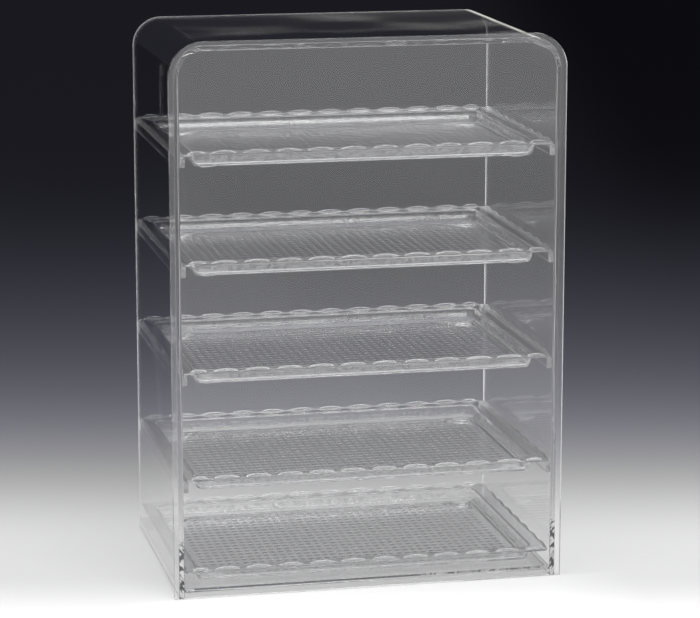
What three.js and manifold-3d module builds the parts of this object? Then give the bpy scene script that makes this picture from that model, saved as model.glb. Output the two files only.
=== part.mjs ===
// Countertop pastry display case: a clear bent-sheet cabinet with five lift-out trays.
// Units are millimetres and +Z is up. The origin is the centre of the footprint, on the
// surface that the case stands on. The front panel faces -Y and the open back faces +Y.
import * as THREE from 'three';
import { mergeVertices } from 'three/addons/utils/BufferGeometryUtils.js';
import Module from 'manifold-3d';

const wasm = await Module();
wasm.setup();

// Cabinet: one sheet bent into two walls and a top
const shellWidth = 440;
const shellDepth = 300;
const shellHeight = 626;
const sheetThickness = 6;
const bendRadius = 34;
const bendSteps = 6;

// Flat front panel, glued on the sheet's front edge and standing proud of it
const panelThickness = 5;
const panelSideOverhang = 6;
const panelTopOverhang = 5;

// Floor panel, glued between the walls a little above their lower edges
const floorRaise = 6.5;
const floorThickness = 5;

// Runners, one pair for each tray above the floor
const runnerWidth = 6;
const runnerHeight = 12;
const lowestRunnerRise = 111.5;
const topTierSpace = 116;
const runnerPairs = 4;

// Trays
const traySideClearance = 1;
const trayEndClearance = 1;
const seatClearance = 0.3;
const trayHeight = 19;
const flangeWidth = 17;
const flangeThickness = 2.2;
const flangeCornerRadius = 6;
const trayWallRun = 5;
const trayWallThickness = 2.2;
const trayFloorThickness = 2.2;
const basinCornerRadius = 6;
const cornerSteps = 4;

// Scalloped lip that runs round the flange
const archPitch = 36.5;
const archHeight = 3.5;
const archThickness = 3;
const archInset = 0.5;
const archLengthShare = 0.92;
const archShortest = 0.3;
const archRoundness = 3;
const archSteps = 6;

// Feet under the tray's corners
const footLength = 18;
const footWidth = 10;
const footHeight = 2;
const footInset = 2;
const footSteps = 4;

// How far a joined piece is sunk into the body that carries it
const overrun = 1;

// Heights and places that follow from the sizes above
const caseDepth = panelThickness + shellDepth;
const frontY = -caseDepth / 2;
const shellFrontY = frontY + panelThickness;
const shellCentreY = shellFrontY + shellDepth / 2;
const innerWidth = shellWidth - 2 * sheetThickness;
const floorTop = floorRaise + floorThickness;
const lowestRunnerTop = floorTop + lowestRunnerRise + runnerHeight;
const highestRunnerTop = shellHeight - sheetThickness - topTierSpace;
const runnerPitch = (highestRunnerTop - lowestRunnerTop) / (runnerPairs - 1);
const trayWidth = innerWidth - 2 * traySideClearance;
const trayLength = shellDepth - 2 * trayEndClearance;

// Solids for cutting and joining

function toSolid(geometry) {
  const plain = geometry.clone();
  plain.deleteAttribute('normal');
  plain.deleteAttribute('uv');
  const merged = mergeVertices(plain);
  return new wasm.Manifold(new wasm.Mesh({
    numProp: 3,
    vertProperties: merged.getAttribute('position').array,
    triVerts: Uint32Array.from(merged.getIndex().array),
  }));
}

function toGeometry(solid) {
  const data = solid.getMesh();
  const geometry = new THREE.BufferGeometry();
  geometry.setAttribute('position', new THREE.BufferAttribute(data.vertProperties, 3));
  geometry.setIndex(new THREE.BufferAttribute(data.triVerts, 1));
  geometry.computeVertexNormals();
  return geometry;
}

// Stands an outline drawn in width and height upright, with its thickness along +Y from 0
function uprightPlate(shape, thickness, curveSegments) {
  const geometry = new THREE.ExtrudeGeometry(shape, { depth: thickness, bevelEnabled: false, curveSegments });
  geometry.rotateX(Math.PI / 2);
  geometry.translate(0, thickness, 0);
  return geometry;
}

// Materials

function clearSheet(colour) {
  return new THREE.MeshStandardMaterial({
    color: colour,
    roughness: 0.03,
    metalness: 0,
    transparent: true,
    opacity: 0.3,
  });
}

function addPiece(parent, name, geometry, material, x, y, z) {
  const mesh = new THREE.Mesh(geometry, material);
  mesh.name = name;
  mesh.position.set(x, y, z);
  parent.add(mesh);
}

// Cabinet pieces

// The sheet seen from the front: up the left wall, round both bends, down the right wall
// and back along the inside
function shellShape() {
  const halfOut = shellWidth / 2;
  const halfIn = innerWidth / 2;
  const bendX = halfOut - bendRadius;
  const bendZ = shellHeight - bendRadius;
  const innerBend = bendRadius - sheetThickness;
  const shape = new THREE.Shape();
  shape.moveTo(-halfOut, 0);
  shape.lineTo(-halfIn, 0);
  shape.lineTo(-halfIn, bendZ);
  shape.absarc(-bendX, bendZ, innerBend, Math.PI, Math.PI / 2, true);
  shape.absarc(bendX, bendZ, innerBend, Math.PI / 2, 0, true);
  shape.lineTo(halfIn, 0);
  shape.lineTo(halfOut, 0);
  shape.lineTo(halfOut, bendZ);
  shape.absarc(bendX, bendZ, bendRadius, 0, Math.PI / 2, false);
  shape.absarc(-bendX, bendZ, bendRadius, Math.PI / 2, Math.PI, false);
  shape.closePath();
  return shape;
}

// The front panel's outline runs round the bent sheet's, a little outside it
function panelShape() {
  const half = shellWidth / 2 + panelSideOverhang;
  const top = shellHeight + panelTopOverhang;
  const radius = bendRadius + panelTopOverhang;
  const shape = new THREE.Shape();
  shape.moveTo(-half, 0);
  shape.lineTo(half, 0);
  shape.lineTo(half, top - radius);
  shape.absarc(half - radius, top - radius, radius, 0, Math.PI / 2, false);
  shape.absarc(radius - half, top - radius, radius, Math.PI / 2, Math.PI, false);
  shape.closePath();
  return shape;
}

function addCabinet(parent) {
  const sheet = clearSheet(0xeaf1f2);
  addPiece(parent, 'shell', uprightPlate(shellShape(), shellDepth, bendSteps), sheet, 0, shellFrontY, 0);
  const panel = uprightPlate(panelShape(), panelThickness, bendSteps);
  addPiece(parent, 'front_panel', panel, clearSheet(0xeaf1f2), 0, frontY, 0);
  const floor = new THREE.BoxGeometry(innerWidth, shellDepth, floorThickness);
  addPiece(parent, 'floor_panel', floor, clearSheet(0xeaf1f2), 0, shellCentreY, floorRaise + floorThickness / 2);
}

// Tier 1 is the top one, and the lowest pair of runners carries tier 4
function runnerTop(tier) {
  return lowestRunnerTop + (runnerPairs - tier) * runnerPitch;
}

function addRunners(parent, tier) {
  const x = (innerWidth - runnerWidth) / 2;
  const z = runnerTop(tier) - runnerHeight / 2;
  const bar = new THREE.BoxGeometry(runnerWidth, shellDepth, runnerHeight);
  addPiece(parent, `runner_left_${tier}`, bar, clearSheet(0xe2ecee), -x, shellCentreY, z);
  addPiece(parent, `runner_right_${tier}`, bar.clone(), clearSheet(0xe2ecee), x, shellCentreY, z);
}

// Tray pieces: each is drawn on its own centre, with its feet on z = 0

// One level of the tray: a rectangle with round corners, anticlockwise from above
function cornerRing(halfX, halfY, radius, z) {
  const ring = [];
  for (let corner = 0; corner < 4; corner += 1) {
    const signX = corner === 0 || corner === 3 ? 1 : -1;
    const signY = corner < 2 ? 1 : -1;
    for (let step = 0; step <= cornerSteps; step += 1) {
      const angle = (corner + step / cornerSteps) * Math.PI / 2;
      const x = signX * (halfX - radius) + radius * Math.cos(angle);
      const y = signY * (halfY - radius) + radius * Math.sin(angle);
      ring.push([x, y, z]);
    }
  }
  return ring;
}

// Skins a stack of rings and closes it with a fan below the first and above the last
function skinRings(rings) {
  const count = rings[0].length;
  const points = rings.flat();
  const faces = [];
  for (let level = 0; level + 1 < rings.length; level += 1) {
    for (let i = 0; i < count; i += 1) {
      const a = level * count + i;
      const b = level * count + (i + 1) % count;
      faces.push(a, b, a + count);
      faces.push(b, b + count, a + count);
    }
  }
  const last = (rings.length - 1) * count;
  const under = points.push([0, 0, rings[0][0][2]]) - 1;
  const over = points.push([0, 0, rings[rings.length - 1][0][2]]) - 1;
  for (let i = 0; i < count; i += 1) {
    const next = (i + 1) % count;
    faces.push(under, next, i);
    faces.push(over, last + i, last + next);
  }
  const geometry = new THREE.BufferGeometry();
  geometry.setAttribute('position', new THREE.Float32BufferAttribute(points.flat(), 3));
  geometry.setIndex(faces);
  return geometry;
}

// The basin with its sloping walls and the flat flange round it
function trayBody() {
  const floorLevel = footHeight + trayFloorThickness;
  const flangeUnder = trayHeight - flangeThickness;
  const wallSlope = trayWallRun / (trayHeight - floorLevel);
  const rimX = trayWidth / 2 - flangeWidth;
  const rimY = trayLength / 2 - flangeWidth;
  const ringAt = (offset, z) => cornerRing(rimX + offset, rimY + offset, basinCornerRadius + trayWallRun + offset, z);
  const outerWall = (z) => trayWallThickness - trayWallRun + wallSlope * (z - floorLevel);
  const outside = [trayWidth / 2, trayLength / 2, flangeCornerRadius];
  return skinRings([
    ringAt(outerWall(footHeight), footHeight),
    ringAt(outerWall(flangeUnder), flangeUnder),
    cornerRing(...outside, flangeUnder),
    cornerRing(...outside, trayHeight),
    ringAt(0, trayHeight),
    ringAt(-trayWallRun, floorLevel),
  ]);
}

// One arch of the lip, centred over x = 0 and standing on the flange
function archGeometry(length) {
  const half = length / 2;
  const shape = new THREE.Shape();
  shape.moveTo(-half, -overrun);
  shape.lineTo(half, -overrun);
  for (let step = 0; step <= archSteps; step += 1) {
    const share = Math.cos(Math.PI * step / archSteps);
    const rise = archHeight * (1 - Math.abs(share) ** archRoundness);
    shape.lineTo(half * share, rise);
  }
  shape.closePath();
  return uprightPlate(shape, archThickness, 1);
}

// The arches of one side, laid along X with the lip's outer face towards +Y. Whole arches run both ways
// from the side's middle, and a short one fills what is left at each end.
function archRow(sideLength, offset) {
  const halfRun = sideLength / 2 - flangeCornerRadius;
  const starts = [];
  for (let start = 0; start < halfRun - archPitch * archShortest; start += archPitch) starts.push(start);
  const arches = [];
  for (const start of starts) {
    const room = Math.min(archPitch, halfRun - start);
    for (const sign of [-1, 1]) {
      const arch = archGeometry(room * archLengthShare);
      arch.translate(sign * (start + room / 2), offset - archInset - archThickness, trayHeight);
      arches.push(arch);
    }
  }
  return arches;
}

function footGeometry() {
  const radius = footWidth / 2;
  const straight = footLength / 2 - radius;
  const shape = new THREE.Shape();
  shape.moveTo(-straight, -radius);
  shape.lineTo(straight, -radius);
  shape.absarc(straight, 0, radius, -Math.PI / 2, Math.PI / 2, false);
  shape.lineTo(-straight, radius);
  shape.absarc(-straight, 0, radius, Math.PI / 2, 3 * Math.PI / 2, false);
  return new THREE.ExtrudeGeometry(shape, {
    depth: footHeight + overrun,
    bevelEnabled: false,
    curveSegments: footSteps,
  });
}

function trayGeometry() {
  let tray = toSolid(trayBody());
  for (let side = 0; side < 4; side += 1) {
    const alongX = side % 2 === 0;
    const arches = alongX ? archRow(trayWidth, trayLength / 2) : archRow(trayLength, trayWidth / 2);
    for (const arch of arches) {
      arch.rotateZ(side * Math.PI / 2);
      tray = tray.add(toSolid(arch));
    }
  }
  const footX = trayWidth / 2 - flangeWidth - trayWallRun - footInset - footLength / 2;
  const footY = trayLength / 2 - flangeWidth - trayWallRun - footInset - footWidth / 2;
  for (const signX of [-1, 1]) {
    for (const signY of [-1, 1]) {
      const foot = footGeometry();
      foot.translate(signX * footX, signY * footY, 0);
      tray = tray.add(toSolid(foot));
    }
  }
  return toGeometry(tray);
}

// Trays 1 to 4 hang by their flanges on the runners, and the last stands on the floor panel
function addTray(parent, tier, geometry) {
  const onRunners = tier <= runnerPairs;
  const hangingZ = () => runnerTop(tier) + seatClearance - (trayHeight - flangeThickness);
  const z = onRunners ? hangingZ() : floorTop + seatClearance;
  const tray = new THREE.MeshStandardMaterial({
    color: 0xe6edef,
    roughness: 0.08,
    metalness: 0,
    transparent: true,
    opacity: 0.35,
  });
  addPiece(parent, `tray_${tier}`, geometry.clone(), tray, 0, shellCentreY, z);
}

const displayCase = new THREE.Group();
const cabinet = new THREE.Group();
displayCase.add(cabinet);
addCabinet(cabinet);
for (let tier = 1; tier <= runnerPairs; tier += 1) {
  addRunners(cabinet, tier);
}
const tray = trayGeometry();
for (let tier = 1; tier <= runnerPairs + 1; tier += 1) {
  addTray(displayCase, tier, tray);
}

export default displayCase;
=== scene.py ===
"""Looks of a clear countertop display case: a bent-sheet cabinet and five moulded trays.

Lengths are metres, +Z is up, and the front panel faces -Y. Every piece is built in mesh code
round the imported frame, gets a procedural material and rides on its own body.
"""

import math

import bmesh
import bpy
from bpy.props import FloatProperty, FloatVectorProperty, IntProperty, PointerProperty
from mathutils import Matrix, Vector


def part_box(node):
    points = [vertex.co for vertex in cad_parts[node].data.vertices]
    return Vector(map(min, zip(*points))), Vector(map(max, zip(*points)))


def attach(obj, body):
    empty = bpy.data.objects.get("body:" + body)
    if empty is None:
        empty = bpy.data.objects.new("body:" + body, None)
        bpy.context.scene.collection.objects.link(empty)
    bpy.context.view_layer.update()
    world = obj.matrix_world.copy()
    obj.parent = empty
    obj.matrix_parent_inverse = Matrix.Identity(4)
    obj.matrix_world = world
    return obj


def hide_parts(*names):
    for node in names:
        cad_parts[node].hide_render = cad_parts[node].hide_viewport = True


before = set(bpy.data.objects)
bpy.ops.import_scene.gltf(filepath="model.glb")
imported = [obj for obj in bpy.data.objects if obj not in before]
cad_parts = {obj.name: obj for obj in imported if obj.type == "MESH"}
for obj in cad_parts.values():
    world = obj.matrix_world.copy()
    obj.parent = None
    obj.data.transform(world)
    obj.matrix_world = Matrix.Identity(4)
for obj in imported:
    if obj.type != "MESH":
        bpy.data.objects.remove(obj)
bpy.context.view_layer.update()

bl_info = {
    "name": "Countertop display case",
    "version": (1, 0, 0),
    "blender": (4, 5, 0),
    "location": "View3D > Sidebar > Display case",
    "description": "Builds a clear bent-sheet display case and its five moulded trays",
    "category": "Add Mesh",
}

MM = 0.001

# Corners of the frame's own pieces, which the sizes below are worked out from
SHELL_LOW, SHELL_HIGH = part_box("shell")
PANEL_LOW, PANEL_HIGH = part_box("front_panel")
FLOOR_LOW, FLOOR_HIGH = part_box("floor_panel")
TRAY_LOW, TRAY_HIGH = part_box("tray_1")
SHEET_THICKNESS = FLOOR_LOW.x - SHELL_LOW.x

TRAY_BODIES = {
    "tray_1": "top_tray",
    "tray_2": "second_tray",
    "tray_3": "third_tray",
    "tray_4": "fourth_tray",
    "tray_5": "bottom_tray",
}
RUNNER_TIERS = (1, 2, 3, 4)

# Places of the edge and the joint material on every cabinet piece; the sheet's own is 0
EDGE_INDEX = 1
JOINT_INDEX = 2


def length(name, description, default):
    """A size that a user can change, in metres."""
    kind = {"subtype": "DISTANCE", "unit": "LENGTH"}
    return FloatProperty(name=name, description=description, default=default, min=0, **kind)


def tone(name, description, default):
    """A colour that a user can change."""
    kind = {"size": 3, "subtype": "COLOR"}
    return FloatVectorProperty(name=name, description=description, default=default, min=0, **kind)


def amount(name, description, default):
    """A plain number that a user can change."""
    return FloatProperty(name=name, description=description, default=default)


def turning(name, description, degrees):
    """An angle that a user can change, given in degrees."""
    radians = math.radians(degrees)
    return FloatProperty(name=name, description=description, default=radians, subtype="ANGLE")


def count(name, description, default, least):
    """A whole number that a user can change."""
    return IntProperty(name=name, description=description, default=default, min=least)


class CabinetSizes(bpy.types.PropertyGroup):
    """Sizes of the bent sheet, its panels and the runners that the frame's boxes don't give."""

    bend_radius: length("Bend radius", "Outer radius of the sheet's two bends", 34 * MM)
    panel_corner: length("Panel corner", "Radius of the front panel's two upper corners", 39 * MM)
    bend_steps: count("Bend steps", "Facets in each quarter turn", 28, 4)
    edge_round: length("Edge round", "Width of the polished round along each cut edge", 0.55 * MM)
    runner_round: length("Runner round", "Width of the round along each runner's edges", 0.9 * MM)
    glue_line: length("Glue line", "Thickness of the clear joint between two pieces", 0.06 * MM)
    hold_back: length("Hold-back", "Flat run kept before a bend starts to turn", 1.5 * MM)


class TraySizes(bpy.types.PropertyGroup):
    """Sizes of one moulded tray, measured up from its feet."""

    flange_width: length("Flange width", "Width of the flat flange round the basin", 17 * MM)
    flange_top: length("Flange top", "Height of the flange's upper face", 19 * MM)
    flange_thickness: length("Flange thickness", "Thickness of the flange", 2.2 * MM)
    flange_corner: length("Flange corner", "Radius of the flange's outer corners", 6 * MM)
    floor_thickness: length("Floor thickness", "Thickness of the basin's floor", 2.2 * MM)
    wall_thickness: length("Wall thickness", "Thickness of the basin's sloping walls", 2.2 * MM)
    rim_corner: length("Rim corner", "Radius of the basin's corners at its rim", 11 * MM)
    wall_lean: turning("Wall lean", "Lean of the basin wall's upper part", 3)
    foot_lean: turning("Foot lean", "Lean of the basin wall's lower part", 19)
    knee_level: length("Knee level", "Height where the basin wall starts to lean more", 12.6 * MM)
    knee_round: length("Knee round", "Round where the basin wall starts to lean more", 2 * MM)
    rim_round: length("Rim round", "Round where the flange turns down into the basin", 1.1 * MM)
    floor_round: length("Floor round", "Round where the basin wall meets the floor", 6 * MM)
    edge_round: length("Edge round", "Round along the flange's outer edges", 0.4 * MM)
    corner_steps: count("Corner steps", "Facets in each corner", 8, 2)
    arch_pitch: length("Arch pitch", "Distance from one arch of the lip to the next", 36.5 * MM)
    arch_height: length("Arch height", "Rise of each arch above the flange", 3.45 * MM)
    arch_thickness: length("Arch thickness", "Thickness of the scalloped lip", 2.2 * MM)
    arch_inset: length("Arch inset", "Gap from the lip to the flange's outer edge", 0.5 * MM)
    arch_length_share: amount("Arch length share", "Share of the pitch that each arch fills", 0.92)
    pip_pitch_x: length("Pip pitch across", "Distance from one pip to the next along X", 9.6 * MM)
    pip_pitch_y: length("Pip pitch along", "Distance from one pip to the next along Y", 11.8 * MM)
    pip_diameter: length("Pip diameter", "Diameter of each round pip", 5.8 * MM)
    pip_height: length("Pip height", "Rise of each pip above the floor", 0.35 * MM)
    foot_length: length("Foot length", "Length of each low foot", 18 * MM)
    foot_width: length("Foot width", "Width of each low foot", 10 * MM)
    foot_height: length("Foot height", "Height of each low foot", 2 * MM)
    foot_inset: length("Foot inset", "Gap from a foot to the edge of the basin's floor", 0.6 * MM)
    outer_round: length("Outer round", "Round where the basin's wall meets its underside", 3 * MM)


class Finishes(bpy.types.PropertyGroup):
    """Colours and surface qualities of the clear plastics."""

    sheet_tint: tone("Sheet tint", "Tint of the cabinet's cast sheet", (0.985, 0.985, 0.988))
    edge_tint: tone("Edge tint", "Tint of the sheet's cut edges", (0.975, 0.98, 0.98))
    tray_tint: tone("Tray tint", "Tint of the moulded trays", (0.98, 0.982, 0.985))
    refraction: amount("Refraction", "Index of refraction of the plastics", 1.49)


class StageLook(bpy.types.PropertyGroup):
    """The pale table that fades into a dark backdrop, and the camera."""

    table_tone: tone("Table tone", "Colour of the lit table", (1.0, 1.0, 1.0))
    shade_tone: tone("Shade tone", "Tint of the table where it fades out", (1.0, 1.0, 1.38))
    fade_turn: turning("Fade turn", "Turn of the table's fade towards +X", 12.508)
    camera_place: FloatVectorProperty(
        name="Camera place",
        description="Where the camera stands",
        default=(-0.7223, -3.3026, 1.0022),
        size=3,
        subtype="XYZ",
    )
    camera_yaw: turning("Camera yaw", "Turn of the view towards +X", 12.508001)
    camera_dip: turning("Camera dip", "Turn of the view below the horizon", 11.829)
    camera_lens: amount("Camera lens", "Focal length in millimetres", 151.4)


# Shared mesh code

ROUND_SEGMENTS = 3
SHARP_EDGE = math.radians(40)

# Share of a face's direction that has to lie along an axis for it to count as facing that way
FACING = 0.9


def new_mesh(name, bm):
    """Turns an edited mesh into a smooth-shaded one with its faces pointing out."""
    bmesh.ops.recalc_face_normals(bm, faces=bm.faces)
    mesh = bpy.data.meshes.new(name)
    bm.to_mesh(mesh)
    bm.free()
    mesh.polygons.foreach_set("use_smooth", [True] * len(mesh.polygons))
    return mesh


def add_piece(name, mesh, materials, body, node, place=(0, 0, 0)):
    """Puts a piece in the scene, on its body, in place of the frame's own node."""
    piece = bpy.data.objects.new(name, mesh)
    piece.location = place
    bpy.context.scene.collection.objects.link(piece)
    for material in materials:
        if material.name not in mesh.materials:
            mesh.materials.append(material)
    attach(piece, body)
    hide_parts(node)
    return piece


def round_edges(piece, width):
    """Polishes a small round along every sharp edge and keeps the flat faces flat."""
    bevel = piece.modifiers.new("polished_edges", "BEVEL")
    bevel.width = width
    bevel.segments = ROUND_SEGMENTS
    bevel.limit_method = "ANGLE"
    bevel.angle_limit = SHARP_EDGE
    bevel.harden_normals = True
    bevel.material = EDGE_INDEX


def quarter(centre, radius, start, turn, steps):
    """Points of a quarter circle in width and height; turn is 1 for anticlockwise."""
    points = []
    for step in range(steps + 1):
        angle = math.radians(start + turn * 90 * step / steps)
        points.append((centre[0] + radius * math.cos(angle), centre[1] + radius * math.sin(angle)))
    return points


def ring_faces(bm, first, second):
    """Skins the space between two rings of as many points."""
    for i in range(len(first)):
        j = (i + 1) % len(first)
        bm.faces.new((first[i], first[j], second[j], second[i]))


def plate_mesh(name, outline, front, back):
    """An upright plate: an outline in width and height with its thickness along Y."""
    bm = bmesh.new()
    near = [bm.verts.new((x, front, z)) for x, z in outline]
    far = [bm.verts.new((x, back, z)) for x, z in outline]
    bm.faces.new(near)
    bm.faces.new(far)
    ring_faces(bm, near, far)
    return new_mesh(name, bm)


def mark_faces(mesh, index, chosen):
    """Gives the material of that index to the faces whose direction is chosen."""
    for face in mesh.polygons:
        if chosen(face.normal):
            face.material_index = index


# The bent sheet


def band_line(inset, outer_radius, sizes, low=None, high=None):
    """The bent sheet's outline from left foot to right foot over both bends, drawn in by inset."""
    low = SHELL_LOW if low is None else low
    high = SHELL_HIGH if high is None else high
    half = high.x - inset
    top = high.z - inset
    radius = outer_radius - inset
    bend_x = half - radius
    bend_z = top - radius
    run = sizes.hold_back
    levels = (low.z, FLOOR_LOW.z + sizes.edge_round, FLOOR_HIGH.z - sizes.edge_round, bend_z - run)
    left = quarter((-bend_x, bend_z), radius, 180, -1, sizes.bend_steps)
    right = quarter((bend_x, bend_z), radius, 90, -1, sizes.bend_steps)
    return (
        [(-half, z) for z in levels]
        + left
        + [(-bend_x + run, top), (bend_x - run, top)]
        + right
        + [(half, z) for z in reversed(levels)]
    )


def strip(bm, a, b, index=0):
    """Skins the space between two open lines of as many points."""
    for i in range(len(a) - 1):
        face = bm.faces.new((a[i], a[i + 1], b[i + 1], b[i]))
        face.material_index = index


def line_at(bm, line, y):
    """Points of a line in width and height, at one depth."""
    return [bm.verts.new((x, y, z)) for x, z in line]


def shell_mesh(sizes):
    """The sheet as a band between its outer and inner face."""
    outer = band_line(0, sizes.bend_radius, sizes)
    inner = band_line(SHEET_THICKNESS, sizes.bend_radius, sizes)
    front = SHELL_LOW.y + sizes.glue_line
    back = SHELL_HIGH.y
    bm = bmesh.new()
    runs = ((outer, front), (outer, back), (inner, back), (inner, front))
    rows = [line_at(bm, line, y) for line, y in runs]
    for (a, b), index in zip(zip(rows, rows[1:] + rows[:1]), (0, EDGE_INDEX, 0, JOINT_INDEX)):
        strip(bm, a, b, index)
    for end in (0, -1):
        bm.faces.new([row[end] for row in rows])
    return new_mesh("shell_sheet", bm)


def make_shell(context):
    """The bent sheet: left wall, top and right wall in one piece."""
    sizes = context.scene.case_cabinet
    mesh = shell_mesh(sizes)
    materials = [sheet_material(context), edge_material(context), joint_material(context)]
    piece = add_piece("shell_sheet", mesh, materials, "cabinet", "shell")
    round_edges(piece, sizes.edge_round)


# The flat panels and the runners


def panel_mesh(sizes):
    """The panel as a plate whose back is marked where the other sheets are glued on."""
    outline = band_line(0, sizes.panel_corner, sizes, PANEL_LOW, PANEL_HIGH)
    bm = bmesh.new()
    front = line_at(bm, outline, PANEL_LOW.y)
    back = line_at(bm, outline, PANEL_HIGH.y)
    outer = band_line(sizes.edge_round, sizes.bend_radius, sizes)
    inner = band_line(SHEET_THICKNESS - sizes.edge_round, sizes.bend_radius, sizes)
    joint_out = line_at(bm, outer, PANEL_HIGH.y)
    joint_in = line_at(bm, inner, PANEL_HIGH.y)
    bm.faces.new(front)
    strip(bm, front, back, EDGE_INDEX)
    strip(bm, back, joint_out)
    strip(bm, joint_out, joint_in, JOINT_INDEX)
    reach = FLOOR_HIGH.x - sizes.glue_line - sizes.edge_round
    lower, upper = joint_in[1].co.z, joint_in[2].co.z
    rectangle = [(-reach, lower), (-reach, upper), (reach, upper), (reach, lower)]
    corners = line_at(bm, rectangle, PANEL_HIGH.y)
    bm.faces.new(corners).material_index = JOINT_INDEX
    bm.faces.new((joint_in[1], corners[0], corners[1], joint_in[2]))
    bm.faces.new((joint_in[-3], corners[2], corners[3], joint_in[-2]))
    bm.faces.new((joint_in[0], joint_in[1], corners[0], corners[3], joint_in[-2], joint_in[-1]))
    bm.faces.new(joint_in[2:-2] + [corners[2], corners[1]])
    foot = [line[0] for line in (front, back, joint_out, joint_in)]
    other_foot = [line[-1] for line in (joint_in, joint_out, back, front)]
    bm.faces.new(foot + other_foot).material_index = EDGE_INDEX
    return new_mesh("front_panel_sheet", bm)


def make_front_panel(context):
    """The flat front panel, glued on the sheet's front edge."""
    sizes = context.scene.case_cabinet
    materials = [sheet_material(context), edge_material(context), joint_material(context)]
    mesh = panel_mesh(sizes)
    piece = add_piece("front_panel_sheet", mesh, materials, "cabinet", "front_panel")
    round_edges(piece, sizes.edge_round)


def box_outline(low, high, gap_left=0.0, gap_right=0.0):
    """A rectangle in width and height, drawn in from its glued sides."""
    left = low.x + gap_left
    right = high.x - gap_right
    return [(left, low.z), (right, low.z), (right, high.z), (left, high.z)]


def make_floor_panel(context):
    """The flat floor panel, glued between the walls."""
    sizes = context.scene.case_cabinet
    gap = sizes.glue_line
    outline = box_outline(FLOOR_LOW, FLOOR_HIGH, gap, gap)
    mesh = plate_mesh("floor_panel_sheet", outline, FLOOR_LOW.y + gap, FLOOR_HIGH.y)
    mark_faces(mesh, EDGE_INDEX, lambda n: n.y > FACING or abs(n.x) > FACING)
    mark_faces(mesh, JOINT_INDEX, lambda n: n.y < -FACING)
    materials = [sheet_material(context), edge_material(context), joint_material(context)]
    piece = add_piece("floor_panel_sheet", mesh, materials, "cabinet", "floor_panel")
    round_edges(piece, sizes.edge_round)


def make_runners(context):
    """The eight bars that carry the upper trays, glued to the walls in pairs."""
    sizes = context.scene.case_cabinet
    gap = sizes.glue_line
    for tier in RUNNER_TIERS:
        for side in ("left", "right"):
            node = f"runner_{side}_{tier}"
            low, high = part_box(node)
            gaps = (gap, 0) if side == "left" else (0, gap)
            outline = box_outline(low, high, *gaps)
            mesh = plate_mesh(f"{node}_bar", outline, low.y + gap, high.y)
            mark_faces(mesh, EDGE_INDEX, lambda n: abs(n.y) > FACING or abs(n.z) > FACING)
            materials = [sheet_material(context), edge_material(context)]
            piece = add_piece(f"{node}_bar", mesh, materials, "cabinet", node)
            round_edges(piece, sizes.runner_round)


# The trays

# Places along one arch and across the lip, where its middle is 0, and the powers that shape them
ARCH_STATIONS = (-1, -0.9, -0.75, -0.55, -0.3, 0, 0.3, 0.55, 0.75, 0.9, 1)
LIP_STATIONS = (1, 0.97, 0.86, 0.6, 0.3, 0, -0.3, -0.6, -0.86, -0.97, -1)
ARCH_POWER = 2.4
LIP_POWER = 5

# The least share of the pitch that still gets an arch at the end of a side
SHORTEST_ARCH = 0.3

# Facets of each rounded corner of the wall's section, and the flat run kept beside it
ROUND_STEPS = 4
SUPPORT_RUN = 0.4 * MM

# Each low foot's rings: how far they are drawn in, and their height as a share of the foot's
FOOT_RINGS = ((0, 1), (0.2 * MM, 0.8), (0.32 * MM, 0.3), (0.6 * MM, 0.08), (1.0 * MM, 0))

# Each pip's rings: their reach and their rise, as shares of the pip's radius and height
PIP_RINGS = ((1, 0), (0.8, 0.42), (0.45, 0.86))

# The eight points round a pip's cell, in half pitches from its middle
PIP_CELL = ((1, 0), (1, 1), (0, 1), (-1, 1), (-1, 0), (-1, -1), (0, -1), (1, -1))
PIP_STEPS = len(PIP_CELL)
LEVEL_TOLERANCE = 0.001 * MM


def rounded_line(points):
    """A profile whose corners (offset, height, radius) are turned into short arcs."""
    line = [(points[0][0], points[0][1])]
    for before, corner, after in zip(points, points[1:], points[2:]):
        middle = Vector(corner[:2])
        towards = (Vector(before[:2]) - middle).normalized()
        away = (Vector(after[:2]) - middle).normalized()
        half_angle = towards.angle(away) / 2
        tangent = corner[2] / math.tan(half_angle)
        centre = middle + (towards + away).normalized() * (corner[2] / math.sin(half_angle))
        start = middle + towards * tangent - centre
        end = middle + away * tangent - centre
        line.append(tuple(middle + towards * (tangent + SUPPORT_RUN)))
        for step in range(ROUND_STEPS + 1):
            share = step / ROUND_STEPS
            spoke = start.slerp(end, share) * corner[2]
            line.append(tuple(centre + spoke))
        line.append(tuple(middle + away * (tangent + SUPPORT_RUN)))
    line.append((points[-1][0], points[-1][1]))
    return line


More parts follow.
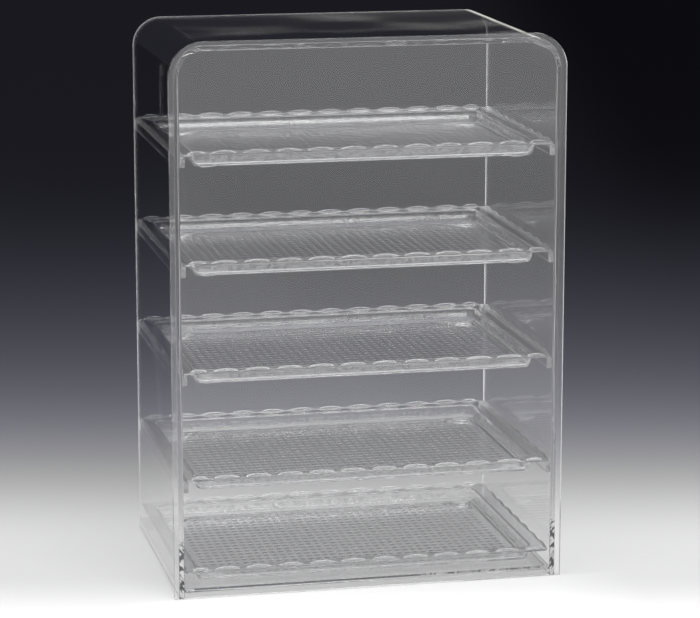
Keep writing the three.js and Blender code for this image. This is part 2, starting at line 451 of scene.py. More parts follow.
class TrayPlan:
    """Levels and outlines of one tray, centred on its own middle with its feet on z = 0."""

    def __init__(self, sizes):
        self.sizes = sizes
        self.half_x = TRAY_HIGH.x
        self.half_y = (TRAY_HIGH.y - TRAY_LOW.y) / 2
        self.rim_x = self.half_x - sizes.flange_width
        self.rim_y = self.half_y - sizes.flange_width
        self.floor_level = sizes.foot_height + sizes.floor_thickness
        self.knee = -(sizes.flange_top - sizes.knee_level) * math.tan(sizes.wall_lean)
        knee_rise = sizes.knee_level - self.floor_level
        self.wall_foot = self.knee - knee_rise * math.tan(sizes.foot_lean)
        bend = math.radians(90) - sizes.foot_lean
        self.floor_edge = self.wall_foot - sizes.floor_round * math.tan(bend / 2) - 2 * SUPPORT_RUN

    def corner_radius(self, offset):
        """Corners follow the basin near it, and the flange's own corner further out."""
        sizes = self.sizes
        if offset < sizes.flange_width / 2:
            return sizes.rim_corner + offset
        return sizes.flange_corner - (sizes.flange_width - offset)

    def arch_stations(self, side):
        """Places along one side, as shares of it, and the share of the arch's rise at each."""
        pitch = self.sizes.arch_pitch
        room = side / 2
        arches = []
        start = 0.0
        while start < room - pitch * SHORTEST_ARCH:
            run = min(pitch, room - start)
            arches += [(start + run / 2, run), (-start - run / 2, run)]
            start += pitch
        stations = []
        for middle, run in sorted(arches):
            for share in ARCH_STATIONS:
                place = 0.5 + (middle + share * run * self.sizes.arch_length_share / 2) / side
                stations.append((place, 1 - abs(share) ** ARCH_POWER))
        return stations

    def ring(self, offset, z, rise=0.0):
        """One ring of the tray, anticlockwise from above, with the lip's rise added."""
        radius = self.corner_radius(offset)
        x_run = self.rim_x + offset - radius
        y_run = self.rim_y + offset - radius
        long_side = self.arch_stations(2 * (self.half_x - self.sizes.flange_corner))
        short_side = self.arch_stations(2 * (self.half_y - self.sizes.flange_corner))
        middles = ((x_run, y_run), (-x_run, y_run), (-x_run, -y_run), (x_run, -y_run))
        steps = self.sizes.corner_steps
        points = []
        for index, (x, y) in enumerate(middles):
            start = 90 * index
            for step in range(steps + 1):
                angle = math.radians(start + 90 * step / steps)
                points.append((x + radius * math.cos(angle), y + radius * math.sin(angle), z))
            turned = math.radians(start + 90)
            out = Vector((math.cos(turned), math.sin(turned)))
            a = Vector((x, y)) + out * radius
            b = Vector(middles[(index + 1) % len(middles)]) + out * radius
            for place, share in long_side if index % 2 == 0 else short_side:
                spot = a.lerp(b, place)
                points.append((spot.x, spot.y, z + rise * share))
        return points

    def section(self):
        """The tray's wall from under the floor, round the flange and back onto the floor."""
        sizes = self.sizes
        under = sizes.flange_top - sizes.flange_thickness
        wall = sizes.wall_thickness
        top_out = wall - sizes.flange_thickness * math.tan(sizes.wall_lean)
        foot_out = self.wall_foot + wall - sizes.floor_thickness * math.tan(sizes.foot_lean)
        lip_out = sizes.flange_width - sizes.arch_inset
        lip_in = lip_out - sizes.arch_thickness
        below = rounded_line(
            [
                (self.floor_edge - SUPPORT_RUN, sizes.foot_height),
                (foot_out, sizes.foot_height, sizes.outer_round),
                (self.knee + wall, sizes.knee_level, sizes.knee_round),
                (top_out, under, sizes.edge_round),
                (sizes.flange_width, under, sizes.edge_round),
                (sizes.flange_width, sizes.flange_top, sizes.edge_round / 2),
                (lip_out, sizes.flange_top),
            ]
        )
        lip = []
        middle = (lip_out + lip_in) / 2
        for station in LIP_STATIONS:
            rise = sizes.arch_height * math.sqrt(1 - abs(station) ** LIP_POWER)
            lip.append((middle + station * sizes.arch_thickness / 2, sizes.flange_top, rise))
        above = rounded_line(
            [
                (lip_in - SUPPORT_RUN, sizes.flange_top),
                (0, sizes.flange_top, sizes.rim_round),
                (self.knee, sizes.knee_level, sizes.knee_round),
                (self.wall_foot, self.floor_level, sizes.floor_round),
                (self.floor_edge - SUPPORT_RUN, self.floor_level),
            ]
        )
        return below[:-1] + lip + above


def stadium(centre, half_length, half_width, z, steps=6):
    """A long outline with round ends, along X."""
    straight = half_length - half_width
    points = []
    for side, start in ((1, -90), (-1, 90)):
        for step in range(steps + 1):
            angle = math.radians(start + 180 * step / steps)
            x = centre[0] + side * straight + half_width * math.cos(angle)
            points.append((x, centre[1] + half_width * math.sin(angle), z))
    return points


def add_feet(bm, plan):
    """Four low feet under the corners of the basin's floor."""
    sizes = plan.sizes
    half_length = sizes.foot_length / 2
    half_width = sizes.foot_width / 2
    x = plan.rim_x + plan.floor_edge - sizes.foot_inset - half_length
    y = plan.rim_y + plan.floor_edge - sizes.foot_inset - half_width
    for sign_x in (-1, 1):
        for sign_y in (-1, 1):
            rings = []
            for inset, share in FOOT_RINGS:
                centre = (sign_x * x, sign_y * y)
                z = share * sizes.foot_height
                outline = stadium(centre, half_length - inset, half_width - inset, z)
                rings.append([bm.verts.new(point) for point in outline])
            for a, b in zip(rings, rings[1:]):
                ring_faces(bm, a, b)
            bm.faces.new(rings[-1])


def add_pips(bm, plan):
    """The basin floor's grid of low round pips."""
    sizes = plan.sizes
    pitch_x = sizes.pip_pitch_x
    pitch_y = sizes.pip_pitch_y
    columns = int(2 * (plan.rim_x + plan.floor_edge - 2 * SUPPORT_RUN) / pitch_x)
    rows = int(2 * (plan.rim_y + plan.floor_edge - 2 * SUPPORT_RUN) / pitch_y)
    lattice = {}

    def lattice_point(i, j):
        if (i, j) not in lattice:
            place = ((i - columns) / 2 * pitch_x, (j - rows) / 2 * pitch_y, plan.floor_level)
            lattice[i, j] = bm.verts.new(place)
        return lattice[i, j]

    for column in range(columns):
        for row in range(rows):
            i = 2 * column + 1
            j = 2 * row + 1
            x = (i - columns) / 2 * pitch_x
            y = (j - rows) / 2 * pitch_y
            ring = [lattice_point(i + di, j + dj) for di, dj in PIP_CELL]
            for reach, rise in PIP_RINGS:
                radius = reach * sizes.pip_diameter / 2
                z = plan.floor_level + rise * sizes.pip_height
                inner = []
                for step in range(PIP_STEPS):
                    angle = math.radians(360 * step / PIP_STEPS)
                    spot = (x + radius * math.cos(angle), y + radius * math.sin(angle), z)
                    inner.append(bm.verts.new(spot))
                ring_faces(bm, ring, inner)
                ring = inner
            crown = bm.verts.new((x, y, plan.floor_level + sizes.pip_height))
            for step in range(PIP_STEPS):
                bm.faces.new((ring[step], ring[(step + 1) % PIP_STEPS], crown))


def fill_level(bm, z, up):
    """Fills the flat face between the open outlines at one height."""

    def is_level(edge):
        return all(abs(vert.co.z - z) < LEVEL_TOLERANCE for vert in edge.verts)

    edges = [edge for edge in bm.edges if edge.is_boundary and is_level(edge)]
    normal = (0, 0, 1 if up else -1)
    bmesh.ops.triangle_fill(bm, use_beauty=True, use_dissolve=False, edges=edges, normal=normal)


def tray_mesh(sizes):
    """One tray as a closed, smooth mesh."""
    plan = TrayPlan(sizes)
    bm = bmesh.new()
    rings = [[bm.verts.new(point) for point in plan.ring(*station)] for station in plan.section()]
    for a, b in zip(rings, rings[1:]):
        ring_faces(bm, a, b)
    add_feet(bm, plan)
    fill_level(bm, sizes.foot_height, False)
    add_pips(bm, plan)
    fill_level(bm, plan.floor_level, True)
    return new_mesh("tray_moulding", bm)


def make_trays(context):
    """The five alike trays, each on its own body."""
    mesh = tray_mesh(context.scene.case_tray)
    materials = [tray_material(context)]
    for node, body in TRAY_BODIES.items():
        low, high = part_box(node)
        place = ((low.x + high.x) / 2, (low.y + high.y) / 2, low.z)
        add_piece(f"{node}_moulding", mesh, materials, body, node, place)


# Materials


class Nodes:
    """A short way to write a node tree."""

    def __init__(self, owner):
        owner.use_nodes = True
        self.tree = owner.node_tree
        self.tree.nodes.clear()

    def add(self, kind, inputs=None, **settings):
        """Adds a node; an input's value is a number, a colour or another node's output."""
        node = self.tree.nodes.new(kind)
        for name, value in settings.items():
            setattr(node, name, value)
        for key, value in (inputs or {}).items():
            socket = node.inputs[key]
            if isinstance(value, bpy.types.NodeSocket):
                self.tree.links.new(value, socket)
            else:
                socket.default_value = value
        return node

    def math(self, operation, *values):
        """The output of a Math node."""
        return self.add("ShaderNodeMath", dict(enumerate(values)), operation=operation).outputs[0]

    def times(self, first, second):
        """The product of two values."""
        return self.math("MULTIPLY", first, second)

    def along(self, place, direction):
        """How far a place lies along a direction."""
        inputs = {0: place, 1: direction}
        return self.add("ShaderNodeVectorMath", inputs, operation="DOT_PRODUCT").outputs["Value"]

    def noise(self, place, scale, detail=2.0, roughness=0.5):
        """The output of a Noise texture."""
        inputs = {"Vector": place, "Scale": scale, "Detail": detail, "Roughness": roughness}
        return self.add("ShaderNodeTexNoise", inputs).outputs["Fac"]

    def bump(self, height, strength, depth):
        """A normal that follows a relief."""
        inputs = {"Strength": strength, "Distance": depth, "Height": height}
        return self.add("ShaderNodeBump", inputs).outputs[0]

    def mapped(self, place, kind="POINT", **inputs):
        """A place, turned and stretched."""
        inputs["Vector"] = place
        return self.add("ShaderNodeMapping", inputs, vector_type=kind).outputs[0]

    def absolute(self, place):
        """A place without its signs, so that both sides look alike."""
        return self.add("ShaderNodeVectorMath", {0: place}, operation="ABSOLUTE").outputs[0]

    def mixed(self, factor, first, second):
        """A colour between two others."""
        inputs = {"Factor": factor, "A": first, "B": second}
        return self.add("ShaderNodeMix", inputs, data_type="RGBA").outputs["Result"]

    def blend(self, share, first, second):
        """A shader between two others."""
        return self.add("ShaderNodeMixShader", {0: share, 1: first, 2: second}).outputs[0]

    def surface(self, shader):
        """Ends the tree with its surface."""
        self.add("ShaderNodeOutputMaterial", {"Surface": shader})

    def spread(self, value, low, high, to_low, to_high, smooth=False):
        """Carries a value from one range to another, held at both ends."""
        inputs = {"Value": value, "From Min": low, "From Max": high}
        inputs |= {"To Min": to_low, "To Max": to_high}
        kind = "SMOOTHSTEP" if smooth else "LINEAR"
        return self.add("ShaderNodeMapRange", inputs, interpolation_type=kind).outputs[0]

    def band(self, value, rise, fall):
        """1 from the end of a rise to the start of a fall, and 0 outside both."""
        return self.times(self.spread(value, *rise, 0, 1), self.spread(value, *fall, 1, 0))


def material_named(name, build, context):
    """Makes a material once and hands back the same one after that."""
    found = bpy.data.materials.get(name)
    if found is None:
        found = bpy.data.materials.new(name)
        build(Nodes(found), context.scene.case_finish)
    return found


def clear_plastic(nodes, colour, finish, roughness, normal):
    """A shader of clear plastic: all light passes, and the surface is glossy."""
    inputs = {
        "Base Color": colour,
        "Metallic": 0,
        "Roughness": roughness,
        "IOR": finish.refraction,
        "Transmission Weight": 1,
        "Normal": normal,
    }
    return nodes.add("ShaderNodeBsdfPrincipled", inputs).outputs[0]


# The cast sheet: each scale is in cells to the metre, and each pair is where a noise fades in
WAVE_SCALE = 5.0
WAVE_STRENGTH = 0.25
WAVE_DEPTH = 1.2 * MM
WIPE_TURN = (0.3, 0.9, 0.4)
WIPE_STRETCH = (4, 40, 9)
WIPE_SCALE = 2.2
WIPE_FADE = (0.5, 0.75)
SMUDGE_SCALE = 14.0
SMUDGE_FADE = (0.45, 0.7)
SHEET_ROUGHNESS = 0.035


def build_sheet(nodes, finish):
    """Polished cast sheet: long shallow waves and faint wipe marks."""
    place = nodes.add("ShaderNodeTexCoord").outputs["Object"]
    waves = nodes.noise(place, WAVE_SCALE, detail=1.0)
    bump = nodes.bump(waves, WAVE_STRENGTH, WAVE_DEPTH)
    stretched = nodes.mapped(place, Rotation=WIPE_TURN, Scale=WIPE_STRETCH)
    wipes = nodes.noise(stretched, WIPE_SCALE, detail=3.0, roughness=0.6)
    smudges = nodes.noise(place, SMUDGE_SCALE, detail=4.0, roughness=0.6)
    wiped = nodes.spread(wipes, *WIPE_FADE, 0, 1)
    smudged = nodes.spread(smudges, *SMUDGE_FADE, 0, 1)
    roughness = nodes.times(nodes.times(wiped, smudged), SHEET_ROUGHNESS)
    nodes.surface(clear_plastic(nodes, (*finish.sheet_tint, 1), finish, roughness, bump))


# The cut edges: fine cutter marks over a slow drift
CUTTER_SCALE = 420.0
CUTTER_SHARE = 0.2
DRIFT_SCALE = 55.0
DRIFT_FADE = (0.4, 0.75)
EDGE_STRENGTH = 0.3
EDGE_DEPTH = 0.2 * MM
EDGE_ROUGHNESS = 0.05


def build_edge(nodes, finish):
    """Scraped and flame-polished edge: faint cutter marks in clear plastic."""
    place = nodes.add("ShaderNodeTexCoord").outputs["Object"]
    cutter = nodes.noise(place, CUTTER_SCALE, detail=2.0)
    drift = nodes.noise(place, DRIFT_SCALE, detail=3.0, roughness=0.6)
    height = nodes.math("ADD", nodes.times(cutter, CUTTER_SHARE), drift)
    bump = nodes.bump(height, EDGE_STRENGTH, EDGE_DEPTH)
    roughness = nodes.spread(drift, *DRIFT_FADE, 0.0, EDGE_ROUGHNESS)
    nodes.surface(clear_plastic(nodes, (*finish.edge_tint, 1), finish, roughness, bump))


# Streaks of air in the glue: most of them lie high up, and they run level along the top
HIGH_RUN = (560 * MM, 600 * MM)
HIGH_SHARE = 0.8
TOP_RUN = (600 * MM, 605 * MM)
PATCH_SCALE = 9.0
PATCH_FADE = (0.5, 0.62)
PATCH_SHARE = (0.12, 0.6)
STREAK_SCALE = 330.0
STREAK_STRETCH = 0.3
STREAK_EDGE = 0.72
STREAK_REACH = 0.24
STREAK_FADE = (-0.015, 0.015)

# Slanted strokes of air between chalky glue at both feet of the case, beside the floor panel
STROKE_SCALE = 400.0
STROKE_TURN = (0, 0.6, 0)
STROKE_STRETCH = (1, 1, 4)
STROKE_FADE = (0.48, 0.52)
STROKE_DARKNESS = 0.8
FOOT_TOP = (64 * MM, 68 * MM)
FOOT_SIDE = (210.5 * MM, 212.5 * MM)
CHALK_TONE = (0.95, 0.95, 0.95, 1)

# An open gap along the top of the floor panel's front edge, broken up on the right
GAP_FOOT = (8.6 * MM, 9.2 * MM)
GAP_TOP = (11.2 * MM, 11.5 * MM)
GAP_END = (202 * MM, 204 * MM)
GAP_BREAKS = (50 * MM, 80 * MM)

# The air in the glue, and the cement between the sheets, with painted shade on the cement below
# the gap
SHADED_AIR = (0.16, 0.165, 0.18, 1)
POCKET_STRENGTH = 0.6
POCKET_DEPTH = 0.6 * MM
POCKET_ROUGHNESS = 0.03
SHADED_CEMENT_CLEARNESS = 0.95


def joint_streaks(nodes, place, height):
    """The relief of the streaks of air in the glue, and where they are open."""
    high = nodes.spread(height, *HIGH_RUN, 0, HIGH_SHARE)
    patchy = nodes.spread(nodes.noise(place, PATCH_SCALE, detail=1.0), *PATCH_FADE, *PATCH_SHARE)
    zone = nodes.math("MAXIMUM", high, patchy)
    upright = nodes.mapped(place, Scale=(1, 1, STREAK_STRETCH))
    level = nodes.mapped(place, Scale=(STREAK_STRETCH, 1, 1))
    on_top = nodes.spread(height, *TOP_RUN, 0, 1)
    runs = {"Factor": on_top, "A": upright, "B": level}
    grain = nodes.add("ShaderNodeMix", runs, data_type="VECTOR").outputs["Result"]
    relief = nodes.noise(grain, STREAK_SCALE, detail=3.0, roughness=0.6)
    edge = nodes.math("SUBTRACT", STREAK_EDGE, nodes.times(zone, STREAK_REACH))
    over = nodes.math("SUBTRACT", relief, edge)
    return relief, nodes.spread(over, *STREAK_FADE, 0, 1)


def build_joint(nodes, finish):
    """Glued edge: cement with streaks of air, chalky feet, a gap along the floor panel and painted
    shade on the cement below it.
    """
    place = nodes.add("ShaderNodeTexCoord").outputs["Object"]
    mirrored = nodes.absolute(place)
    height = nodes.along(place, (0, 0, 1))
    across = nodes.along(place, (1, 0, 0))
    off_middle = nodes.along(mirrored, (1, 0, 0))
    relief, streaks = joint_streaks(nodes, place, height)
    slanted = nodes.mapped(mirrored, "TEXTURE", Rotation=STROKE_TURN, Scale=STROKE_STRETCH)
    strokes = nodes.spread(nodes.noise(slanted, STROKE_SCALE, detail=1.0), *STROKE_FADE, 0, 1)
    beside_floor = nodes.spread(off_middle, *FOOT_SIDE, 0, 1)
    foot = nodes.times(nodes.spread(height, *FOOT_TOP, 1, 0), beside_floor)
    open_foot = nodes.times(foot, strokes)
    breaks = nodes.times(nodes.spread(across, *GAP_BREAKS, 0, 1), strokes)
    gap = nodes.band(height, GAP_FOOT, GAP_TOP)
    gap = nodes.times(gap, nodes.spread(off_middle, *GAP_END, 1, 0))
    gap = nodes.times(gap, nodes.math("SUBTRACT", 1.0, breaks))
    air = nodes.math("MAXIMUM", nodes.math("MAXIMUM", streaks, open_foot), gap)
    dark = nodes.math("MAXIMUM", gap, nodes.times(open_foot, STROKE_DARKNESS))
    colour = nodes.mixed(dark, (*finish.edge_tint, 1), SHADED_AIR)
    bump = nodes.bump(relief, POCKET_STRENGTH, POCKET_DEPTH)
    pocket = clear_plastic(nodes, colour, finish, POCKET_ROUGHNESS, bump)
    # Painted shade: the cement lets a little less light through below the gap, near the table
    level = nodes.spread(height, *GAP_TOP, SHADED_CEMENT_CLEARNESS, 1.0)
    shaded_clearness = nodes.add("ShaderNodeCombineColor", {0: level, 1: level, 2: level}).outputs[0]
    cement = nodes.add("ShaderNodeBsdfTransparent", {"Color": shaded_clearness}).outputs[0]
    chalk = nodes.add("ShaderNodeBsdfDiffuse", {"Color": CHALK_TONE}).outputs[0]
    nodes.surface(nodes.blend(air, nodes.blend(foot, cement, chalk), pocket))


# The trays' skin, and the grain and frost on their walls between two heights above their feet
SKIN_SCALE = 60.0
SKIN_SHARE = 0.25
FLOW_SCALE = 11.0
TRAY_STRENGTH = 0.3
TRAY_DEPTH = 0.6 * MM
HANDLING_SCALE = 24.0
HANDLING_FADE = (0.45, 0.75)
TRAY_ROUGHNESS = (0.01, 0.06)
WALL_FOOT = (4.8 * MM, 6.5 * MM)
WALL_TOP = (13.5 * MM, 15.5 * MM)
GRAIN_SCALE = 260.0
GRAIN_SHARE = 0.6
FROST_TONE = (0.97, 0.97, 0.97, 1)
FROST_SCALE = 190.0
FROST_FADE = (0.42, 0.6)
FROST_SHARE = (0.04, 0.24)


def build_tray(nodes, finish):
    """Moulded clear plastic: an uneven skin with flow marks, and grained and frosted walls."""
    place = nodes.add("ShaderNodeTexCoord").outputs["Object"]
    skin = nodes.noise(place, SKIN_SCALE, detail=2.0)
    flow = nodes.noise(place, FLOW_SCALE, detail=2.0)
    height = nodes.math("ADD", nodes.times(skin, SKIN_SHARE), flow)
    level = nodes.along(place, (0, 0, 1))
    wall = nodes.band(level, WALL_FOOT, WALL_TOP)
    grain = nodes.times(nodes.noise(place, GRAIN_SCALE, detail=2.0), wall)
    height = nodes.math("ADD", height, nodes.times(grain, GRAIN_SHARE))
    bump = nodes.bump(height, TRAY_STRENGTH, TRAY_DEPTH)
    handling = nodes.noise(place, HANDLING_SCALE, detail=4.0, roughness=0.6)
    roughness = nodes.spread(handling, *HANDLING_FADE, *TRAY_ROUGHNESS)
    clear = clear_plastic(nodes, (*finish.tray_tint, 1), finish, roughness, bump)
    frost = nodes.add("ShaderNodeBsdfDiffuse", {"Color": FROST_TONE, "Normal": bump}).outputs[0]
    mottle = nodes.spread(nodes.noise(place, FROST_SCALE, detail=1.0), *FROST_FADE, *FROST_SHARE)
    nodes.surface(nodes.blend(nodes.times(wall, mottle), clear, frost))


def sheet_material(context):
    """The cabinet's polished sheet."""
    return material_named("clear_cast_sheet", build_sheet, context)


def edge_material(context):
    """The sheet's cut edges."""
    return material_named("scraped_sheet_edge", build_edge, context)


def joint_material(context):
    """The glued faces."""
    return material_named("glued_sheet_edge", build_joint, context)


def tray_material(context):
    """The trays' moulded plastic."""
    return material_named("clear_moulding", build_tray, context)


# Stage

# The table's half width and its gap below the case, the bounces of light, and the camera's sensor
FLOOR_REACH = 14.0
FLOOR_DROP = 0.2 * MM
LIGHT_BOUNCES = 96
SENSOR_WIDTH = 36

# The lit table fades out behind the case, sooner at the sides, and ends darker on the right
LIT_LEVEL = 0.78
FADE_REACH = 0.35
FADE_POWER = 2.15
FADE_END = 1.27
END_POWER = 8.0
SIDE_START = 0.6
SIDE_SHARE = 0.5
DEEP_RUN = (0.25, 0.75)
DEEP_LEVELS = (0.009, 0.0035)

# Painted light on the table: it is lighter in front of the case, most of all in a painted pool
# straight before the front panel
LIFT_RUN = (-0.1, -0.32)
FRONT_LIFT = 0.34
POOL_EDGE = (0.149, 0.156)
POOL_SIDE = (0.2, 0.3)
POOL_LIFT = 0.1

# A painted shadow of the case on the table under it, darker towards the front
SHADE_SIDE = (0.219, 0.225)
SHADE_END = (0.149, 0.155)
SHADE_RUN = (0.0, 0.15)
SHADE_SHARES = (0.05, 0.22)

# Far in front the table is dimmer when it is seen and brighter when it is reflected
DIM_RUN = (-0.45, -1.6)
FRONT_DIM = 0.3
NEAR_RUN = (-0.6, -1.4)
NEAR_GLOSS = 0.59
FAR_RUN = (-2.4, -4.0)
FAR_GLOSS = 1.6

# The table's tint follows the square root of its level, and part of the level glows
TINT_FADE = (0.1, 0.62)
GLOW_RUN = (0.0, 2.0)
GLOW_SHARES = (0.7, 1.0)
MATTE_SHARE = 0.38

# The room's tones behind the case, along the horizon on the right, and in front of the case
ROOM_RUN = (0.15, -0.45)
HORIZON_FADE = (0.076, 0.1135)
HORIZON_SIDE = (0.12, 0.26)
BACKDROP_TONE = (0.021, 0.021, 0.028, 1)
HORIZON_TONE = (0.62, 0.61, 0.57, 1)
ROOM_TONE = (0.55, 0.55, 0.56, 1)

# Each softbox: its name, place, aim, width, height and radiance
SOFTBOXES = (
    ("overhead_softbox", (0.0, -0.2, 2.3), (0, 0, 0.3), 2.6, 2.0, 1.5),
    ("front_softbox", (0.55, -2.35, 1.75), (0, 0.1, 0.35), 1.8, 0.8, 9.0),
)


def paint_case_shadow(nodes, place, level):
    """The table's level, with the case's painted shadow under it and a painted pool of light
    straight in front of it.
    """
    mirrored = nodes.absolute(place)
    off_x = nodes.along(mirrored, (1, 0, 0))
    off_y = nodes.along(mirrored, (0, 1, 0))
    forward = nodes.along(place, (0, -1, 0))
    between_walls = nodes.spread(off_x, *SHADE_SIDE, 1, 0)
    covered = nodes.times(between_walls, nodes.spread(off_y, *SHADE_END, 1, 0))
    painted_shade = nodes.times(covered, nodes.spread(forward, *SHADE_RUN, *SHADE_SHARES, smooth=True))
    level = nodes.times(level, nodes.math("SUBTRACT", 1.0, painted_shade))
    # Painted pool of light on the table straight before the front panel
    painted_lift = nodes.spread(forward, *POOL_EDGE, 0, POOL_LIFT)
    painted_pool = nodes.times(painted_lift, nodes.spread(off_x, *POOL_SIDE, 1, 0))
    return nodes.math("ADD", level, painted_pool)


def seen_level(nodes, behind, level):
    """The table's level, dimmer far in front when it is seen and brighter when it is reflected."""
    path = nodes.add("ShaderNodeLightPath").outputs
    seen = nodes.math("MAXIMUM", path["Is Camera Ray"], path["Is Transmission Ray"])
    dim = nodes.times(seen, nodes.spread(behind, *DIM_RUN, 0, FRONT_DIM, smooth=True))
    level = nodes.times(level, nodes.math("SUBTRACT", 1.0, dim))
    near_lift = nodes.spread(behind, *NEAR_RUN, 0, NEAR_GLOSS)
    far_lift = nodes.spread(behind, *FAR_RUN, 0, FAR_GLOSS)
    reflected = nodes.math("SUBTRACT", path["Is Glossy Ray"], path["Is Transmission Ray"])
    reflected = nodes.math("MAXIMUM", reflected, 0.0)
    boost = nodes.times(reflected, nodes.math("ADD", near_lift, far_lift))
    return nodes.times(level, nodes.math("ADD", boost, 1.0))


def build_floor(nodes, look):
    """A pale table that fades out behind the case and partly glows."""
    place = nodes.add("ShaderNodeNewGeometry").outputs["Position"]
    along = nodes.along(place, (math.sin(look.fade_turn), math.cos(look.fade_turn), 0))
    across = nodes.along(place, (math.cos(look.fade_turn), -math.sin(look.fade_turn), 0))
    outside = nodes.math("SUBTRACT", nodes.math("ABSOLUTE", across), SIDE_START)
    outside = nodes.math("MAXIMUM", outside, 0.0)
    behind = nodes.math("SUBTRACT", along, nodes.times(outside, SIDE_SHARE))
    beyond = nodes.math("MAXIMUM", behind, 0.0)
    fade = nodes.math("POWER", nodes.math("DIVIDE", beyond, FADE_REACH), FADE_POWER)
    end = nodes.math("POWER", nodes.math("DIVIDE", beyond, FADE_END), END_POWER)
    lit = nodes.math("DIVIDE", LIT_LEVEL, nodes.math("ADD", nodes.math("ADD", fade, end), 1.0))
    # Painted light: the table is lighter in front of the case
    painted_lift = nodes.spread(behind, *LIFT_RUN, 0, FRONT_LIFT, smooth=True)
    deep = nodes.spread(across, *DEEP_RUN, *DEEP_LEVELS, smooth=True)
    level = nodes.math("ADD", nodes.math("ADD", lit, deep), painted_lift)
    # Painted shadow under the case and painted pool of light before it
    level = paint_case_shadow(nodes, place, level)
    level = seen_level(nodes, behind, level)
    paleness = nodes.spread(nodes.math("POWER", level, 0.5), *TINT_FADE, 0, 1)
    colour = nodes.mixed(paleness, (*look.shade_tone, 1), (*look.table_tone, 1))
    strength = nodes.times(level, nodes.spread(behind, *GLOW_RUN, *GLOW_SHARES))
    glow = nodes.add("ShaderNodeEmission", {"Color": colour, "Strength": strength}).outputs[0]
    scaled = {0: colour, "Scale": nodes.times(level, MATTE_SHARE)}
    matte_tone = nodes.add("ShaderNodeVectorMath", scaled, operation="SCALE").outputs[0]
    matte = nodes.add("ShaderNodeBsdfDiffuse", {"Color": matte_tone}).outputs[0]
    nodes.surface(nodes.add("ShaderNodeAddShader", {0: glow, 1: matte}).outputs[0])


def make_floor(look):
    """A wide flat table just below the case's feet."""
    bm = bmesh.new()
    reach = FLOOR_REACH
    corners = ((-reach, -reach), (reach, -reach), (reach, reach), (-reach, reach))
    bm.faces.new([bm.verts.new((x, y, -FLOOR_DROP)) for x, y in corners])
    mesh = bpy.data.meshes.new("table")
    bm.to_mesh(mesh)
    bm.free()
    table = bpy.data.objects.new("table", mesh)
    bpy.context.scene.collection.objects.link(table)
    material = bpy.data.materials.new("graded_table")
    build_floor(Nodes(material), look)
    mesh.materials.append(material)


def make_world(scene):
    """A dark backdrop behind the case over a lit horizon, and a pale room in front of it."""
    world = bpy.data.worlds.new("studio")
    scene.world = world
    nodes = Nodes(world)
    direction = nodes.add("ShaderNodeTexCoord").outputs["Generated"]
    parts = nodes.add("ShaderNodeSeparateXYZ", {0: direction}).outputs
    front = nodes.spread(parts["Y"], *ROOM_RUN, 0, 1, smooth=True)
    horizon = nodes.spread(parts["Z"], *HORIZON_FADE, 1, 0, smooth=True)
    beside = nodes.spread(parts["X"], *HORIZON_SIDE, 0, 1, smooth=True)
    back = nodes.mixed(nodes.times(horizon, beside), BACKDROP_TONE, HORIZON_TONE)
    room = nodes.mixed(front, back, ROOM_TONE)
    background = nodes.add("ShaderNodeBackground", {"Color": room, "Strength": 1.0}).outputs[0]
    nodes.add("ShaderNodeOutputWorld", {"Surface": background})


def add_softbox(name, place, aim, width, height, radiance):
    """A soft rectangular lamp that shines from place towards aim."""
    lamp = bpy.data.lights.new(name, "AREA")
    lamp.shape = "RECTANGLE"
    lamp.size = width
    lamp.size_y = height
    lamp.energy = radiance * math.pi * width * height
    holder = bpy.data.objects.new(name, lamp)
    holder.location = place
    holder.rotation_euler = (Vector(aim) - Vector(place)).to_track_quat("-Z", "Y").to_euler()
    holder.visible_camera = False
    bpy.context.scene.collection.objects.link(holder)


def make_camera(scene, look):
    """The camera, in front of the case and a little to its left."""
    camera = bpy.data.cameras.new("camera")
    camera.sensor_width = SENSOR_WIDTH
    camera.lens = look.camera_lens
    holder = bpy.data.objects.new("camera", camera)
    holder.location = look.camera_place
    holder.rotation_euler = (math.radians(90) - look.camera_dip, 0, -look.camera_yaw)
    scene.collection.objects.link(holder)
    scene.camera = holder


def make_stage(context):
    """The table, the room, the lamps and the camera."""
    scene = context.scene
    look = scene.case_stage
    scene.view_settings.view_transform = "Standard"
    scene.cycles.max_bounces = LIGHT_BOUNCES
    scene.cycles.transmission_bounces = LIGHT_BOUNCES
    scene.cycles.glossy_bounces = LIGHT_BOUNCES
    scene.cycles.transparent_max_bounces = LIGHT_BOUNCES
    make_floor(look)
    make_world(scene)
    for softbox in SOFTBOXES:
        add_softbox(*softbox)
    make_camera(scene, look)


# Operators


class CASE_OT_shell(bpy.types.Operator):
    """Build the bent sheet that is the case's walls and top"""

    bl_idname = "case.shell"
    bl_label = "Bent sheet"

    def execute(self, context):
        make_shell(context)
        return {"FINISHED"}


class CASE_OT_front_panel(bpy.types.Operator):
    """Build the flat front panel"""

    bl_idname = "case.front_panel"
    bl_label = "Front panel"

    def execute(self, context):
        make_front_panel(context)
        return {"FINISHED"}


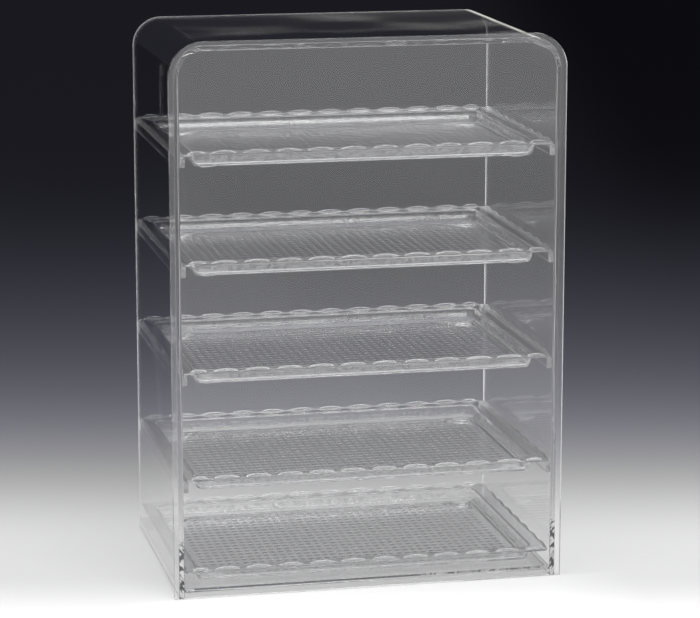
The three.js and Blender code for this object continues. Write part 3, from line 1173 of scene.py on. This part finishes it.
class CASE_OT_floor_panel(bpy.types.Operator):
    """Build the flat floor panel"""

    bl_idname = "case.floor_panel"
    bl_label = "Floor panel"

    def execute(self, context):
        make_floor_panel(context)
        return {"FINISHED"}


class CASE_OT_runners(bpy.types.Operator):
    """Build the eight tray runners"""

    bl_idname = "case.runners"
    bl_label = "Runners"

    def execute(self, context):
        make_runners(context)
        return {"FINISHED"}


class CASE_OT_trays(bpy.types.Operator):
    """Build the five moulded trays"""

    bl_idname = "case.trays"
    bl_label = "Trays"

    def execute(self, context):
        make_trays(context)
        return {"FINISHED"}


class CASE_OT_stage(bpy.types.Operator):
    """Build the table, the lamps and the camera"""

    bl_idname = "case.stage"
    bl_label = "Stage"

    def execute(self, context):
        make_stage(context)
        return {"FINISHED"}


OPERATORS = (
    CASE_OT_stage,
    CASE_OT_shell,
    CASE_OT_front_panel,
    CASE_OT_floor_panel,
    CASE_OT_runners,
    CASE_OT_trays,
)


class CASE_PT_panel(bpy.types.Panel):
    """Lists the case's pieces in the sidebar"""

    bl_label = "Display case"
    bl_idname = "CASE_PT_panel"
    bl_space_type = "VIEW_3D"
    bl_region_type = "UI"
    bl_category = "Display case"

    def draw(self, context):
        for operator in OPERATORS:
            self.layout.operator(operator.bl_idname)


GROUPS = {
    "case_cabinet": CabinetSizes,
    "case_tray": TraySizes,
    "case_finish": Finishes,
    "case_stage": StageLook,
}


def register():
    """Adds the property groups, the operators and the panel."""
    for group in GROUPS.values():
        bpy.utils.register_class(group)
    for name, group in GROUPS.items():
        setattr(bpy.types.Scene, name, PointerProperty(type=group))
    for cls in (*OPERATORS, CASE_PT_panel):
        bpy.utils.register_class(cls)


def unregister():
    """Takes everything away again that register adds."""
    for cls in (CASE_PT_panel, *reversed(OPERATORS)):
        bpy.utils.unregister_class(cls)
    for name in GROUPS:
        delattr(bpy.types.Scene, name)
    for group in reversed(GROUPS.values()):
        bpy.utils.unregister_class(group)


def main():
    """Builds the whole case on its stage."""
    register()
    bpy.ops.case.stage()
    bpy.ops.case.shell()
    bpy.ops.case.front_panel()
    bpy.ops.case.floor_panel()
    bpy.ops.case.runners()
    bpy.ops.case.trays()


if __name__ == "__main__":
    main()
